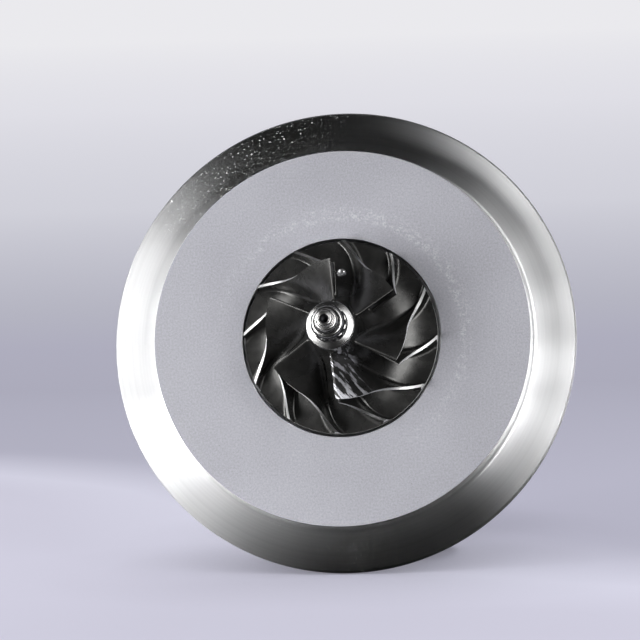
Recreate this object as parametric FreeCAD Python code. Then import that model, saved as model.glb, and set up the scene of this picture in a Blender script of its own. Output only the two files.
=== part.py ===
import FreeCAD, Part

import math
import os

from FreeCAD import Vector

# Turbo cartridge: a rotor on two floating bushes, in a bearing housing with the compressor's backplate.
# Millimetres. The rotor turns about Y. -Y points to the compressor side, +Z up to the oil inlet,
# and +X to the right as seen from the compressor side. The origin is on that axis, in the backplate's
# raised face. An angle is counted about that axis, anticlockwise from +X as seen from the compressor side.
# A place along the axis is called y, and a distance from it r.

# Backplate
plate_r = 59.0  # outside of the clamped rim
rim_land = 2.5  # straight outside of the rim
rim_chamfer = 0.4
clamp_taper = 20.0  # degrees, from the radial plane
clamp_depth = 4.8  # of the tapers that the clamp rings grip
pad_r = 48.0  # raised diffuser face, which centres the compressor cover
pad_height = 6.1  # from the rim's seat to the diffuser face
cove_r = 1.2  # hollow fillet between the raised face's wall and the seat
web_thickness = 5.0
pad_wall = 3.5  # between the raised face's wall and the pocket behind it
pocket_draft = 3.0  # how far each side of the rear pocket leans outwards
plate_thickness = 13.0  # from the diffuser face to the joint with the housing
seal_bore_r = 8.15  # bore round the oil flinger
oil_pocket_gap = 1.3  # round the flinger's slinger, on the oil side

# Compressor wheel
wheel_length = 27.0
wheel_back_y = 6.0
wheel_exit_r = 24.5
wheel_inlet_r = 17.75
wheel_hub_r = 6.4  # hub at the leading edges
wheel_nose_r = 6.1
wheel_foot_r = 7.4  # rear boss, on the flinger
inlet_hub_y = -17.5
inlet_tip_y = -15.6
exit_hub_y = 0.3
exit_width = 3.2  # blade height at the exit
inducer_length = 5.7  # along which the blades' outer edges keep the inlet's radius
inducer_share = 0.35  # share of those edges that it takes
exit_rim = 1.2  # thickness of the disc's edge
disc_swell_r = 9.5  # where the sloping back meets the rear boss
disc_swell_y = 5.0
wheel_gap = 0.8  # between the wheel and the recess it turns in
blade_pair_count = 6  # full blades, each with a splitter behind it
blade_phase = 32.0  # degrees, of one full blade's leading tip
blade_wrap = 56.0  # degrees, from leading tip to exit
blade_lag = 8.0  # degrees, by which the leading edge's foot trails its tip
inlet_angle = 60.0  # degrees, of a leading tip against the axis
exit_angle = 46.0  # degrees, back from the radius
splitter_start = 0.4  # share of a full blade's length at which a splitter starts
blade_root = 1.3  # thickness at the hub
blade_tip = 0.65
edge_share = 0.6  # thickness of a leading edge, against the blade behind it
edge_growth = 0.25  # share of a blade's length in which it reaches its full thickness
blade_sunk = 0.8  # how far a blade runs into its hub before the two are fused
hub_points = 9  # points of a wheel's curved hub and of its blades' curved edge

# Compressor nut and the shaft's threaded end
nut_flange_r = 6.05
nut_flange = 1.3
nut_height = 6.5
nut_point_r = 4.6  # across the corners of its twelve points
nut_collar_r = 4.0
nut_collar = 1.5
nut_chamfer = 0.5
nut_flange_edge = 0.5  # straight outside of the flange, below its cone
stud_r = 2.8
stud_past_nut = 3.0
tip_r = 2.0
tip_length = 2.5
tip_centre_r = 1.1
tip_centre_depth = 2.5
shaft_chamfer = 0.3

# Flinger, thrust bearing and thrust collar
flinger_length = 9.45
flinger_gap = 0.3  # radial, in the backplate's bore
slinger_r = 10.2
slinger_thickness = 2.5
slinger_slope = 0.5
thrust_thickness = 3.0
thrust_clearance = 0.05  # axial, on each face
thrust_r = 17.5
thrust_fit = 0.1  # radial, in the housing's counterbore
collar_hub_r = 5.0
collar_flange_r = 9.0
collar_flange = 1.45
collar_clearance = 0.1  # radial, in the thrust bearing
thrust_land_r = 9.5  # outer end of the oil grooves in the thrust faces
thrust_groove_width = 1.2
thrust_groove_depth = 0.5
thrust_groove_count = 4
thrust_groove_angle = 45.0
deflector_thickness = 0.8
deflector_inner_r = 11.2
tongue_width = 12.0
tongue_length = 7.0
tongue_drop = 12.2  # from the axis to the middle of the tongue
drain_notch = 16.0  # width of the thrust bearing's notch
pin_r = 1.5
pin_length = 7.5
pin_edge = 4.0  # from a pin's axis to the thrust bearing's edge
pin_angles = (30.0, 150.0)
pin_gap = 0.05

# Journals and floating bushes
journal_r = 4.0
journal_clearance = 0.03
bush_r = 6.3
bush_clearance = 0.05
bush_length = 8.0
bush_chamfer = 0.4
bush_hole_count = 6
bush_hole_r = 0.8
bush_lead = 3.0  # from the thrust collar to the front bush
bush_span = 20.0  # from one bush's start to the other's
shaft_waist_r = 3.7  # between the journals
clip_thickness = 1.0
clip_gap = 0.1  # axial, each side of a circlip
clip_depth = 0.95  # of the groove in the housing's bore
clip_width = 1.8  # radial
clip_opening = 50.0  # degrees, left out of the circlip's ring
clip_angle = 90.0  # where that opening is

# Turbine end of the rotor
throw_r = 9.8  # oil-throwing flange
throw_thickness = 2.0
throw_lead = 2.8  # from the rear bush to the flange
seal_hub_r = 8.2
weld_y = 66.5  # where the shaft's hub meets the turbine wheel
seal_width = 1.4  # of both piston rings
seal_side_gap = 0.1
seal_depth = 1.4  # of a ring's groove in the rotor
seal_under_gap = 0.2  # under a ring, in its groove
seal_slit = 0.3
turbine_seal_lead = 3.2  # from the throwing flange's rear to the ring's groove
compressor_seal_lead = 3.0  # from the flinger's front to the ring's groove
turbine_r = 21.5
turbine_disc_r = 20.3
turbine_back_y = 68.0
turbine_disc = 1.5  # thickness of the disc's edge
turbine_inlet = 6.5  # blade height where the gas enters
turbine_exit_r = 18.5
turbine_exit_y = 90.0
turbine_hub_r = 5.6  # hub at the blades' rear edges
turbine_blade_count = 10
turbine_bend = 32.0  # degrees, over the curved rear part of a blade
turbine_straight = 0.35  # share of the blade's length in which it stays radial
turbine_root = 2.0
turbine_tip = 0.9
scallop_r = 4.2
scallop_depth = 4.0
nose_flat = 4.6  # from the axis to a flat of the six-sided nose
nose_length = 4.5
nose_chamfer = 1.0
turbine_hub_end = 1.0  # of hub behind the blades
turbine_hub_flare = 1.0  # between the shaft's hub and the disc

# Bearing housing
flange_thickness = 6.0
flange_chamfer = 0.5
shoulder_r = 21.5  # behind the front flange, round the thrust bearing
shoulder_gap = 1.2  # from the shoulder to the bolts' washers
shoulder_length = 5.0
shoulder_round = 1.0
slope_stretch = 0.5  # by which the slope down to the waist is longer than it is high
waist_r = 17.0
collar_room = 0.6  # round the thrust collar's flange
relief_r = 8.5  # wider bore between the bushes
relief_margin = 1.5  # of narrow bore left beside the circlip grooves
throw_room = 1.7  # round the throwing flange
turbine_flange_r = 37.0
turbine_seat_y = 61.0
turbine_land = 2.4
pilot_r = 31.0
pilot_height = 3.0
pilot_wall = 4.0
shield_recess = 3.5
seal_nose_r = 13.5
seal_nose = 2.0  # how far the seal's nose stands out of the recess
seal_nose_slope = 1.0
flare_start = 46.0
flare_r = 9.0  # hollow radius between the waist and the turbine flange
flare_angle = 76.0
cast_fillet = 2.2  # where the boss and the neck grow out of the body
pad_fillet = 0.8  # where the neck meets the drain pad
oil_y = 38.0  # inlet and drain, along the axis
inlet_top = 32.0
inlet_boss_r = 11.0
inlet_boss_draft = 2.5
inlet_land_r = 10.0
inlet_land = 2.0
inlet_thread_r = 5.25
inlet_thread_depth = 12.0
inlet_drill_r = 2.0
gallery_z = 12.5  # axial oil drilling above the bearings
gallery_r = 1.5
feed_r = 1.25
thrust_feed_r = 0.75  # drilling inside the thrust bearing
cavity_width = 13.0  # oil drain channel below the bearings
cavity_top = 9.5
cavity_bottom = 16.5
drain_z = 47.5  # from the axis down to the drain's face
drain_r = 8.0
drain_pad_thickness = 8.0
drain_pad_length = 52.0
drain_pad_width = 30.0
drain_pad_corner = 13.0
drain_bolt_spacing = 40.0
drain_bolt_r = 3.0
neck_length = 29.0  # across the drain's neck at its narrowest
neck_width = 22.5
neck_flare = 3.0
neck_start = 3.4  # below the axis, inside the body
neck_flat = 1.0  # half of its flat sides

# Joint of backplate and housing
bolt_count = 4
bolt_edge = 6.0  # from a bolt's axis to the flange's edge
bolt_r = 3.0
bolt_reach = 8.0  # of thread in the backplate
bolt_hole_past = 1.0
bolt_hole_gap = 0.3
bolt_head_flat = 5.0  # from the bolt's axis to a flat of its head
bolt_head_height = 4.0
bolt_head_chamfer = 0.6
washer_r = 5.8
washer_thickness = 1.0
oring_r = 21.0  # middle of the ring
oring_section_r = 0.95
oring_squeeze = 0.25  # pressed flat, in front and behind
oring_groove_gap = 0.25

# Heat shield
shield_thickness = 1.0
shield_r = 30.4
shield_seat = 3.5  # width of its flat rim
shield_rise = 2.0  # from the rim to its raised middle
shield_slope = 2.0  # radial width of the sloping wall between them
shield_hole_gap = 2.0  # round the shaft's hub
shield_lean = 0.4  # keeps the sloping wall as thick as the rest

# Places along the axis, worked out from the sizes above
nose_y = wheel_back_y - wheel_length
flinger_end = wheel_back_y + flinger_length
thrust_front = flinger_end + thrust_clearance
thrust_back = thrust_front + thrust_thickness
collar_flange_y = thrust_back + thrust_clearance
collar_end = collar_flange_y + collar_flange
deflector_front = thrust_front - deflector_thickness
rim_back = pad_height + rim_land
flange_back = plate_thickness + flange_thickness
front_bush_y = collar_end + bush_lead
rear_bush_y = front_bush_y + bush_span
throw_y = rear_bush_y + bush_length + throw_lead
throw_end = throw_y + throw_thickness
turbine_groove_y = throw_end + turbine_seal_lead
compressor_groove_y = wheel_back_y + compressor_seal_lead
groove_width = seal_width + 2 * seal_side_gap
pilot_end = turbine_seat_y + pilot_height
recess_y = pilot_end - shield_recess
flinger_r = seal_bore_r - flinger_gap
housing_seal_r = seal_hub_r + flinger_gap
bush_bore_r = bush_r + bush_clearance
counterbore_r = thrust_r + thrust_fit
pin_circle_r = thrust_r - pin_edge
oil_pocket_r = slinger_r + oil_pocket_gap
taper_rise = clamp_depth * math.tan(math.radians(clamp_taper))
clip_starts = [
    bush + offset
    for bush in (front_bush_y, rear_bush_y)
    for offset in (-clip_gap - clip_thickness, bush_length + clip_gap)
]
bolt_circle_r = shoulder_r + shoulder_gap + washer_r
flange_r = bolt_circle_r + bolt_edge
shoulder_run = shoulder_r - waist_r + slope_stretch
bolt_angles = [45.0 + 360.0 / bolt_count * turn for turn in range(bolt_count)]

AXIS = Vector(0, 1, 0)
CENTRE = Vector(0, 0, 0)
AWAY = 200.0  # longer than anything in the part
PAST = 1.0  # how far a cut runs past what it cuts
SHARP = 15.0  # degrees that two faces turn where a casting gets a fillet


def polar(y, r, angle):
    """The point at y along the axis, r from it, and at an angle about it."""
    turn = math.radians(angle)
    return Vector(r * math.cos(turn), y, r * math.sin(turn))


def turned(*steps):
    """A solid of revolution. A step is a point (y, r), an arc (its middle and end) or a list for a curve."""
    here = Vector(steps[0][1], steps[0][0], 0)
    edges = []
    for step in steps[1:] + steps[:1]:
        if isinstance(step, list):
            points = [Vector(r, y, 0) for y, r in step]
            curve = Part.BSplineCurve()
            curve.interpolate([here] + points)
            edges.append(curve.toShape())
            here = points[-1]
            continue
        there = Vector(step[-1], step[-2], 0)
        if len(step) == 4:
            edges.append(Part.Arc(here, Vector(step[1], step[0], 0), there).toShape())
        else:
            edges.append(Part.makeLine(here, there))
        here = there
    return Part.Face(Part.Wire(edges)).revolve(CENTRE, AXIS, 360)


def ring(start, end, inner, outer):
    """A plain ring about the axis."""
    return turned((start, inner), (start, outer), (end, outer), (end, inner))


def rod(start, end, radius, x=0.0, z=0.0):
    """A cylinder along the axis."""
    return Part.makeCylinder(radius, end - start, Vector(x, start, z), AXIS)


def upright(bottom, top, radius, x=0.0, y=0.0):
    """A cylinder that stands along Z."""
    return Part.makeCylinder(radius, top - bottom, Vector(x, y, bottom), Vector(0, 0, 1))


def block(x0, x1, y0, y1, z0, z1):
    return Part.makeBox(x1 - x0, y1 - y0, z1 - z0, Vector(x0, y0, z0))


def about(shape, angle):
    """The shape turned about the rotor's axis, anticlockwise as seen from the compressor side."""
    copy = shape.copy()
    copy.rotate(CENTRE, Vector(0, -1, 0), angle)
    return copy


def repeated(shape, count, first=0.0):
    return [about(shape, first + 360.0 / count * turn) for turn in range(count)]


def prism(start, end, corners):
    """A prism along the axis through corners given as (radius, angle)."""
    points = [polar(start, radius, angle) for radius, angle in corners]
    face = Part.Face(Part.makePolygon(points + points[:1]))
    return face.extrude(Vector(0, end - start, 0))


def hexagon(start, end, flat, first=0.0):
    corner = flat / math.cos(math.radians(30))
    return prism(start, end, [(corner, first + 60 * turn) for turn in range(6)])


def oval(length, width, corner, z):
    """A rounded rectangle in a level plane, centred on the oil passages."""
    x = length / 2 - corner
    y = width / 2 - corner
    slant = corner * math.sqrt(0.5)
    edges = []
    corners = [(x, y, 1, 1), (-x, y, -1, 1), (-x, -y, -1, -1), (x, -y, 1, -1)]
    ends = []
    for cx, cy, sx, sy in corners:
        side = Vector(cx + sx * corner, oil_y + cy, z)
        end = Vector(cx, oil_y + cy + sy * corner, z)
        middle = Vector(cx + sx * slant, oil_y + cy + sy * slant, z)
        first, last = (side, end) if sx == sy else (end, side)
        ends.append((first, middle, last))
    for number, (first, middle, last) in enumerate(ends):
        edges.append(Part.Arc(first, middle, last).toShape())
        edges.append(Part.makeLine(last, ends[(number + 1) % 4][0]))
    return Part.Wire(edges)


def softened(shape, radius, *ranges):
    """The shape with a fillet on each sharp edge whose middle lies within the ranges of x, y and z."""
    chosen = []
    for edge in shape.Edges:
        middle = edge.valueAt((edge.FirstParameter + edge.LastParameter) / 2)
        inside = all(low < place < high for place, (low, high) in zip(middle, ranges))
        faces = shape.ancestorsOfType(edge, Part.Face)
        if inside and len(faces) == 2:
            normals = [face.normalAt(*face.Surface.parameter(middle)) for face in faces]
            if normals[0].getAngle(normals[1]) > math.radians(SHARP):
                chosen.append(edge)
    return shape.makeFillet(radius, chosen)


def quarter(share, start, end):
    """A point (y, r) on a quarter ellipse that leaves start along the axis and reaches end radially."""
    turn = math.radians(90 * share)
    y = start[0] + (end[0] - start[0]) * math.sin(turn)
    r = start[1] + (end[1] - start[1]) * (1 - math.cos(turn))
    return y, r


def eased(share, start, end, start_slope, end_slope):
    """A cubic from start to end with the given slopes at share 0 and share 1."""
    a = start_slope + end_slope - 2 * (end - start)
    b = 3 * (end - start) - 2 * start_slope - end_slope
    return ((a * share + b) * share + start_slope) * share + start


def blade(foot_at, head_at, root, tip, shares):
    """A blade lofted through flat sections. foot_at and head_at give a point for a share of its length."""
    nudge = 0.01
    sections = []
    for share in shares:
        foot = foot_at(share)
        head = head_at(share)
        span = (head - foot).normalize()
        ahead = foot_at(share + nudge) + head_at(share + nudge)
        behind = foot_at(share - nudge) + head_at(share - nudge)
        across = span.cross(ahead - behind).normalize()
        thin = edge_share + (1 - edge_share) * min(1.0, (share - shares[0]) / edge_growth)
        low = foot - span * blade_sunk
        high = head + span * blade_sunk
        half_root = across * (root * thin / 2)
        half_tip = across * (tip * thin / 2)
        corners = [low - half_root, low + half_root, high + half_tip, high - half_tip]
        sections.append(Part.makePolygon(corners + corners[:1]))
    return Part.makeLoft(sections, True, False)


def spread(start, end, count):
    """Evenly spaced shares from start to end."""
    return [start + (end - start) * number / (count - 1) for number in range(count)]


def compressor_wheel():
    hub_ends = (inlet_hub_y, wheel_hub_r), (exit_hub_y, wheel_exit_r)
    inducer_end = inlet_tip_y + inducer_length
    tip_ends = (inducer_end, wheel_inlet_r), (exit_hub_y - exit_width, wheel_exit_r)
    back_rim = exit_hub_y + exit_rim
    curve = [quarter(share, *hub_ends) for share in spread(0, 1, hub_points)]
    hub = turned(
        (nose_y, stud_r),
        (nose_y, wheel_nose_r),
        (inlet_hub_y, wheel_hub_r),
        curve[1:],
        (back_rim, wheel_exit_r),
        (disc_swell_y, disc_swell_r),
        (wheel_back_y, wheel_foot_r),
        (wheel_back_y, stud_r),
    )
    lead_in = math.tan(math.radians(inlet_angle)) / wheel_inlet_r
    lead_out = math.tan(math.radians(exit_angle)) / wheel_exit_r

    def turn_of(ends, curved, start):
        """How far the blade has turned along one of its edges, of which a share is curved."""
        (start_y, start_r), (end_y, end_r) = ends
        slope_in = math.degrees(lead_in * (end_y - start_y) * math.pi / 2 / curved)
        slope_out = math.degrees(lead_out * (end_r - start_r) * math.pi / 2 / curved)
        return lambda share: eased(share, start, blade_wrap, slope_in, slope_out)

    curved_share = 1 - inducer_share
    hub_turn = turn_of(hub_ends, 1.0, -blade_lag)
    tip_turn = turn_of(tip_ends, curved_share, 0.0)

    def foot_at(share):
        return polar(*quarter(share, *hub_ends), hub_turn(share))

    def head_at(share):
        if share < inducer_share:
            y = inlet_tip_y + inducer_length * share / inducer_share
            return polar(y, wheel_inlet_r, tip_turn(share))
        return polar(*quarter((share - inducer_share) / curved_share, *tip_ends), tip_turn(share))

    shroud = [quarter(share, *tip_ends) for share in spread(0, 1, hub_points)]
    envelope = turned(
        (nose_y, 0),
        (nose_y, wheel_inlet_r),
        (inducer_end, wheel_inlet_r),
        shroud[1:],
        (back_rim, wheel_exit_r),
        (back_rim, 0),
    )
    past_exit = 1.05
    full = blade(foot_at, head_at, blade_root, blade_tip, spread(0, past_exit, 10))
    splitter = blade(foot_at, head_at, blade_root, blade_tip, spread(splitter_start, past_exit, 7))
    half_step = 180.0 / blade_pair_count
    blades = repeated(full.common(envelope), blade_pair_count, blade_phase)
    blades += repeated(splitter.common(envelope), blade_pair_count, blade_phase + half_step)
    return hub.fuse(blades)


def compressor_nut():
    flange_front = nose_y - nut_flange
    collar_back = nose_y - nut_height + nut_collar
    top = nose_y - nut_height
    curve = nut_collar / 2
    inset = curve * (1 - math.sqrt(0.5))
    body = turned(
        (nose_y, stud_r),
        (nose_y, nut_flange_r),
        (nose_y - nut_flange_edge, nut_flange_r),
        (flange_front, nut_point_r),
        (flange_front, nut_collar_r),
        (top + curve, nut_collar_r),
        (top + inset, nut_collar_r - inset, top, nut_collar_r - curve),
        (top, stud_r),
    )
    inner_r = nut_point_r * math.cos(math.radians(30)) / math.cos(math.radians(15))
    corners = [(nut_point_r if turn % 2 else inner_r, 15.0 * turn) for turn in range(24)]
    points = prism(collar_back, flange_front, corners)
    shape_of_corners = turned(
        (flange_front, stud_r),
        (flange_front, nut_point_r),
        (collar_back + nut_chamfer, nut_point_r),
        (collar_back, nut_point_r - nut_chamfer),
        (collar_back, stud_r),
    )
    return body.fuse(points.common(shape_of_corners)).removeSplitter()


def rotor_shaft():
    stud_end = nose_y - nut_height - stud_past_nut
    tip_end = stud_end - tip_length
    groove_floor = seal_hub_r - seal_depth
    chamfer = shaft_chamfer
    waist_start = front_bush_y + bush_length + clip_thickness
    waist_end = rear_bush_y - clip_thickness
    slope = journal_r - shaft_waist_r
    return turned(
        (tip_end + tip_centre_depth, 0),
        (tip_end + tip_centre_depth - tip_centre_r, tip_centre_r),
        (tip_end, tip_centre_r),
        (tip_end, tip_r - chamfer),
        (tip_end + chamfer, tip_r),
        (stud_end, tip_r),
        (stud_end, stud_r - chamfer),
        (stud_end + chamfer, stud_r),
        (collar_end, stud_r),
        (collar_end, journal_r - chamfer),
        (collar_end + chamfer, journal_r),
        (waist_start, journal_r),
        (waist_start + slope, shaft_waist_r),
        (waist_end - slope, shaft_waist_r),
        (waist_end, journal_r),
        (throw_y, journal_r),
        (throw_y, throw_r - chamfer),
        (throw_y + chamfer, throw_r),
        (throw_end, throw_r),
        (throw_end, seal_hub_r),
        (turbine_groove_y, seal_hub_r),
        (turbine_groove_y, groove_floor),
        (turbine_groove_y + groove_width, groove_floor),
        (turbine_groove_y + groove_width, seal_hub_r),
        (weld_y, seal_hub_r),
        (weld_y, 0),
    )


def turbine_wheel():
    disc_front = turbine_back_y + turbine_disc
    hub_end = turbine_exit_y + turbine_hub_end
    nose_end = hub_end + nose_length
    hub_ends = (turbine_exit_y, turbine_hub_r), (disc_front, turbine_disc_r)
    tip_ends = (turbine_exit_y, turbine_exit_r), (disc_front + turbine_inlet, turbine_r)
    curve = [quarter(share, *hub_ends) for share in spread(1, 0, hub_points)]
    shroud = [quarter(share, *tip_ends) for share in spread(1, 0, hub_points)]
    hub = turned(
        (weld_y, 0),
        (weld_y, seal_hub_r),
        (turbine_back_y, seal_hub_r + turbine_hub_flare),
        (turbine_back_y, turbine_disc_r),
        (disc_front, turbine_disc_r),
        curve[1:],
        (hub_end, turbine_hub_r),
        (hub_end, 0),
    )
    scallop = rod(turbine_back_y - PAST, disc_front + turbine_inlet, scallop_r)
    scallop.translate(Vector(turbine_disc_r + scallop_r - scallop_depth, 0, 0))
    half_step = 180.0 / turbine_blade_count
    hub = hub.cut(repeated(scallop, turbine_blade_count, half_step))

    def turn_at(share):
        """Radial at the gas inlet, then bent towards the rear edge."""
        bent = max(0.0, 1 - share - turbine_straight) / (1 - turbine_straight)
        return turbine_bend * bent**2

    def foot_at(share):
        return polar(*quarter(share, *hub_ends), turn_at(share))

    def head_at(share):
        return polar(*quarter(share, *tip_ends), turn_at(share))

    envelope = turned(
        (turbine_back_y, 0),
        (turbine_back_y, turbine_r),
        (disc_front + turbine_inlet, turbine_r),
        shroud[1:],
        (turbine_exit_y, 0),
    )
    past_inlet = 1.05
    before_exit = -0.02
    one = blade(foot_at, head_at, turbine_root, turbine_tip, spread(before_exit, past_inlet, 7))
    blades = repeated(one.common(envelope), turbine_blade_count)
    nose = hexagon(turbine_exit_y, nose_end, nose_flat)
    rounded = turned(
        (turbine_exit_y, 0),
        (turbine_exit_y, turbine_hub_r),
        (nose_end - nose_chamfer, turbine_hub_r),
        (nose_end, nose_flat - nose_chamfer),
        (nose_end, 0),
    )
    return hub.fuse(blades + [nose.common(rounded)])


def thrust_collar():
    return turned(
        (flinger_end, stud_r),
        (flinger_end, collar_hub_r),
        (collar_flange_y, collar_hub_r),
        (collar_flange_y, collar_flange_r),
        (collar_end, collar_flange_r),
        (collar_end, stud_r),
    )


def oil_flinger():
    slinger_y = flinger_end - slinger_thickness
    groove_floor = flinger_r - seal_depth
    return turned(
        (wheel_back_y, stud_r),
        (wheel_back_y, wheel_foot_r),
        (wheel_back_y + flinger_r - wheel_foot_r, flinger_r),
        (compressor_groove_y, flinger_r),
        (compressor_groove_y, groove_floor),
        (compressor_groove_y + groove_width, groove_floor),
        (compressor_groove_y + groove_width, flinger_r),
        (slinger_y - slinger_slope, flinger_r),
        (slinger_y, slinger_r),
        (flinger_end, slinger_r),
        (flinger_end, stud_r),
    )


def piston_ring(groove_y, bore_r, land_r, slit_angle):
    """A seal ring that springs against its bore, with its ends a slit apart."""
    start = groove_y + seal_side_gap
    inner = land_r - seal_depth + seal_under_gap
    whole = ring(start, start + seal_width, inner, bore_r)
    slit = block(0, AWAY, start - PAST, start + seal_width + PAST, -seal_slit / 2, seal_slit / 2)
    return whole.cut(about(slit, slit_angle))


def compressor_seal_ring():
    return piston_ring(compressor_groove_y, seal_bore_r, flinger_r, 90.0)


def turbine_seal_ring():
    return piston_ring(turbine_groove_y, housing_seal_r, seal_hub_r, -90.0)


def backplate():
    recess_r = wheel_exit_r + wheel_gap
    recess_rim = exit_hub_y + exit_rim + wheel_gap
    recess_back = wheel_back_y + wheel_gap
    oil_pocket_y = flinger_end - slinger_thickness - oil_pocket_gap
    cove_y = pad_height - cove_r
    slant = cove_r * math.sqrt(0.5)
    pocket_r = pad_r - pad_wall
    rim_inner_r = pocket_r + pocket_draft
    taper_back = rim_back + taper_rise
    body = turned(
        (0, recess_r),
        (0, pad_r),
        (cove_y, pad_r),
        (pad_height - cove_r + slant, pad_r + cove_r - slant, pad_height, pad_r + cove_r),
        (pad_height, plate_r - rim_chamfer),
        (pad_height + rim_chamfer, plate_r),
        (rim_back, plate_r),
        (taper_back, plate_r - clamp_depth),
        (taper_back, rim_inner_r),
        (web_thickness, pocket_r),
        (web_thickness, flange_r + pocket_draft),
        (plate_thickness, flange_r),
        (plate_thickness, thrust_r),
        (deflector_front, thrust_r),
        (deflector_front, oil_pocket_r),
        (oil_pocket_y, oil_pocket_r),
        (oil_pocket_y, seal_bore_r),
        (recess_back, seal_bore_r),
        (recess_back, wheel_foot_r + wheel_gap),
        (disc_swell_y + wheel_gap, disc_swell_r),
        (recess_rim, wheel_exit_r),
        (recess_rim, recess_r),
    )
    depth = plate_thickness - bolt_reach - bolt_hole_past
    holes = [rod(depth, plate_thickness, bolt_r, x, z) for x, z in bolt_places()]
    return body.cut(holes)


def bolt_places():
    """(x, z) of each bolt of the joint."""
    return [(polar(0, bolt_circle_r, angle).x, polar(0, bolt_circle_r, angle).z) for angle in bolt_angles]


def backplate_bolts():
    seat = flange_back + washer_thickness
    corner = bolt_head_flat / math.cos(math.radians(30))
    made = []
    for x, z in bolt_places():
        shank = rod(plate_thickness - bolt_reach, seat, bolt_r)
        head = hexagon(seat, seat + bolt_head_height, bolt_head_flat, 30.0)
        rounded = turned(
            (seat, 0),
            (seat, corner),
            (seat + bolt_head_height - bolt_head_chamfer, corner),
            (seat + bolt_head_height, corner - 2 * bolt_head_chamfer),
            (seat + bolt_head_height, 0),
        )
        bolt = shank.fuse(head.common(rounded)).removeSplitter()
        bolt.translate(Vector(x, 0, z))
        made.append(bolt)
    return Part.makeCompound(made)


def backplate_washers():
    made = []
    for x, z in bolt_places():
        washer = ring(flange_back, flange_back + washer_thickness, bolt_r + bolt_hole_gap, washer_r)
        washer.translate(Vector(x, 0, z))
        made.append(washer)
    return Part.makeCompound(made)


def oring_depth():
    """Depth of the O-ring's groove in the housing's flange."""
    return 2 * (oring_section_r - oring_squeeze)


def housing_oring():
    middle = plate_thickness + oring_depth() / 2
    whole = Part.makeTorus(oring_r, oring_section_r, Vector(0, middle, 0), AXIS)
    return whole.common(ring(plate_thickness, plate_thickness + oring_depth(), 0, AWAY))


def thrust_bearing():
    plate = ring(thrust_front, thrust_back, collar_hub_r + collar_clearance, thrust_r)
    groove_start = collar_hub_r
    half = thrust_groove_width / 2
    front = block(groove_start, thrust_land_r, thrust_front, thrust_front + thrust_groove_depth, -half, half)
    back = block(groove_start, thrust_land_r, thrust_back - thrust_groove_depth, thrust_back, -half, half)
    cuts = repeated(Part.makeCompound([front, back]), thrust_groove_count, thrust_groove_angle)
    notch_top = -tongue_drop + deflector_thickness
    cuts.append(block(-drain_notch / 2, drain_notch / 2, thrust_front, thrust_back, -thrust_r, notch_top))
    cuts += [rod(thrust_front, thrust_back, pin_r + pin_gap, x, z) for x, z in pin_places()]
    feed_depth = thrust_back - thrust_thickness / 2
    cuts.append(rod(feed_depth, thrust_back, feed_r, 0, gallery_z))
    middle_y = (thrust_front + thrust_back) / 2
    cuts.append(upright(collar_hub_r, gallery_z, thrust_feed_r, 0, middle_y))
    return plate.cut(cuts)


def pin_places():
    """(x, z) of each pin of the thrust bearing."""
    return [(polar(0, pin_circle_r, angle).x, polar(0, pin_circle_r, angle).z) for angle in pin_angles]


def thrust_pins():
    start = thrust_front - deflector_thickness / 2
    pins = [rod(start, start + pin_length, pin_r, x, z) for x, z in pin_places()]
    return Part.makeCompound(pins)


def oil_deflector():
    sheet = ring(deflector_front, thrust_front, deflector_inner_r, thrust_r)
    sheet = sheet.cut([rod(deflector_front, thrust_front, pin_r + pin_gap, x, z) for x, z in pin_places()])
    half = deflector_thickness / 2
    tongue = block(
        -tongue_width / 2,
        tongue_width / 2,
        deflector_front,
        deflector_front + tongue_length,
        -tongue_drop - half,
        -tongue_drop + half,
    )
    return sheet.fuse(tongue).removeSplitter()


def floating_bush(start):
    """A plain bronze bush with chamfered ends and oil holes through its wall."""
    inner = journal_r + journal_clearance
    end = start + bush_length
    body = turned(
        (start, inner + bush_chamfer / 2),
        (start, bush_r - bush_chamfer),
        (start + bush_chamfer, bush_r),
        (end - bush_chamfer, bush_r),
        (end, bush_r - bush_chamfer),
        (end, inner + bush_chamfer / 2),
        (end - bush_chamfer / 2, inner),
        (start + bush_chamfer / 2, inner),
    )
    hole = upright(0, bush_r + PAST, bush_hole_r, 0, start + bush_length / 2)
    return body.cut(repeated(hole, bush_hole_count))


def bearing_circlips():
    outer = bush_bore_r + clip_depth
    made = []
    for start in clip_starts:
        whole = ring(start, start + clip_thickness, outer - clip_width, outer)
        half = clip_opening / 2
        wedge = [(clip_thickness, clip_angle), (AWAY, clip_angle - half), (AWAY, clip_angle + half)]
        made.append(whole.cut(prism(start - PAST, start + clip_thickness + PAST, wedge)))
    return Part.makeCompound(made)


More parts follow.
